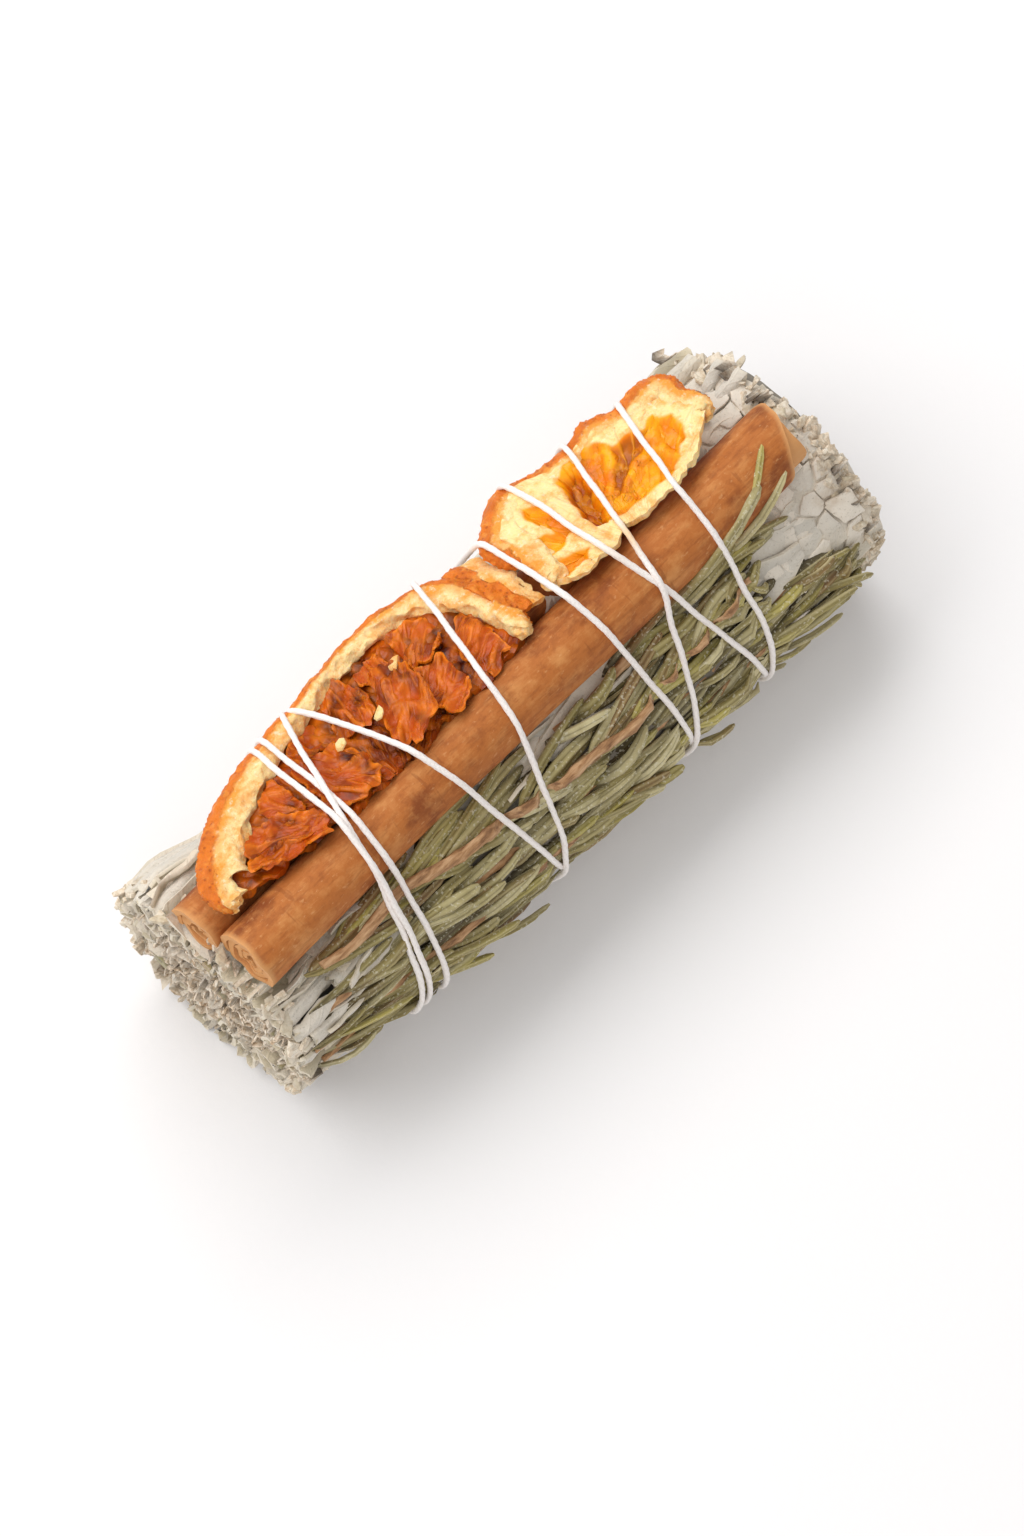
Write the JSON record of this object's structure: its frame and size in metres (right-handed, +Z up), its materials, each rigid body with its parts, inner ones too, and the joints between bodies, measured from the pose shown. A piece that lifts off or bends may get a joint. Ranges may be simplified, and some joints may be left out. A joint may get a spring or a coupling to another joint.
{
  "type": "sage smudge stick",
  "caption": "Bundle of dried white sage with cinnamon quills, dried orange slices and rosemary, bound with white cotton string for burning as incense.",
  "frame": {"origin": "under the middle of the stick, on the surface it lies on", "axes": "+X along the bundle from its near cut end to its far one, +Y towards the side the orange slices drape over, +Z up"},
  "size_m": [0.1048, 0.044, 0.0465],
  "materials": {
    "sage_leaf": "matt, velvety dried leaf",
    "cinnamon_bark": "matt bark with fine fibres",
    "orange_rind": "pored peel over pale dry pith",
    "orange_pulp_dark": "glossy crumpled dried flesh",
    "orange_pulp_light": "glossy dried flesh between pale membranes",
    "rosemary": "matt dried needles on woody stems",
    "cotton": "soft twisted cotton"
  },
  "bodies": {
    "root": {"sage_sprig_middle": "sage_leaf", "sage_sprig_top": "sage_leaf", "sage_sprig_back_upper": "sage_leaf", "sage_sprig_back_lower": "sage_leaf", "sage_sprig_bottom": "sage_leaf", "sage_sprig_front_lower": "sage_leaf", "sage_sprig_front_upper": "sage_leaf", "cinnamon_quill_front": "cinnamon_bark", "cinnamon_quill_back": "cinnamon_bark", "orange_near_rind": "orange_rind", "orange_near_pulp": "orange_pulp_dark", "orange_far_rind": "orange_rind", "orange_far_pulp": "orange_pulp_light", "rosemary_sprig_1": "rosemary", "rosemary_sprig_2": "rosemary", "rosemary_sprig_3": "rosemary", "rosemary_sprig_4": "rosemary", "rosemary_sprig_5": "rosemary", "cotton_string": "cotton"}
  },
  "joints": []
}
